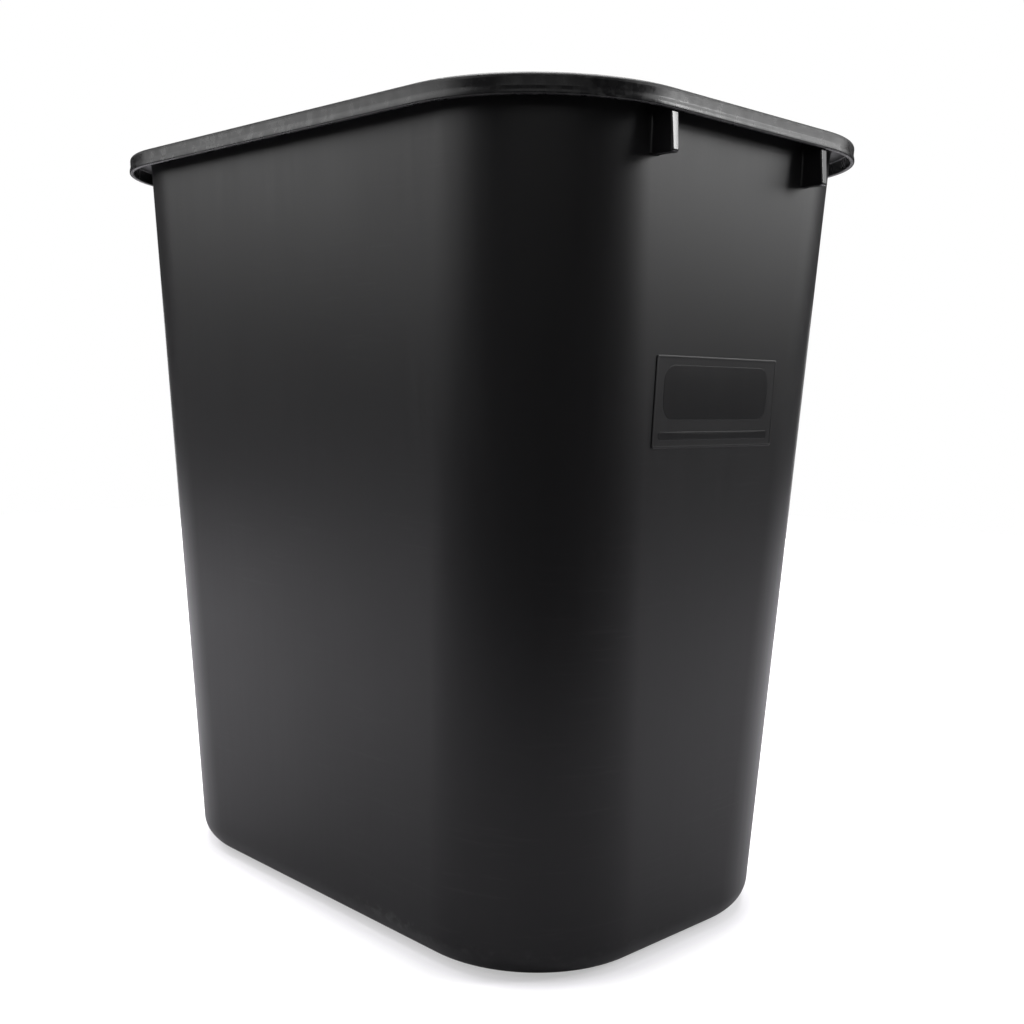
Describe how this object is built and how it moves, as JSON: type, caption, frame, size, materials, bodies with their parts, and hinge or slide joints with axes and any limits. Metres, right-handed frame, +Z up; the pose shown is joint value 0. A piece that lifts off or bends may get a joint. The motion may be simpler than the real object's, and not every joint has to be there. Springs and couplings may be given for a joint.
{
  "type": "wastebasket",
  "caption": "Open-topped rectangular deskside wastebasket with tapered walls, large rounded corners, a rolled rim, nesting lugs under the rim and a blank name plate.",
  "frame": {"origin": "centre of the footprint, on the surface that the basket stands on", "axes": "+X along the length, towards the end with the name plate; +Y along the width, towards the rear; +Z up"},
  "size_m": [0.365, 0.2604, 0.381],
  "materials": {
    "moulded_black": "satin"
  },
  "bodies": {
    "root": {"basket_wall": "moulded_black", "foot_ring": "moulded_black", "floor_panel": "moulded_black", "gate_boss": "moulded_black", "rim_flange": "moulded_black", "rim_skirt": "moulded_black", "name_plate": "moulded_black", "nesting_lug_right_front": "moulded_black", "nesting_lug_right_rear": "moulded_black", "nesting_lug_left_front": "moulded_black", "nesting_lug_left_rear": "moulded_black"}
  },
  "joints": []
}
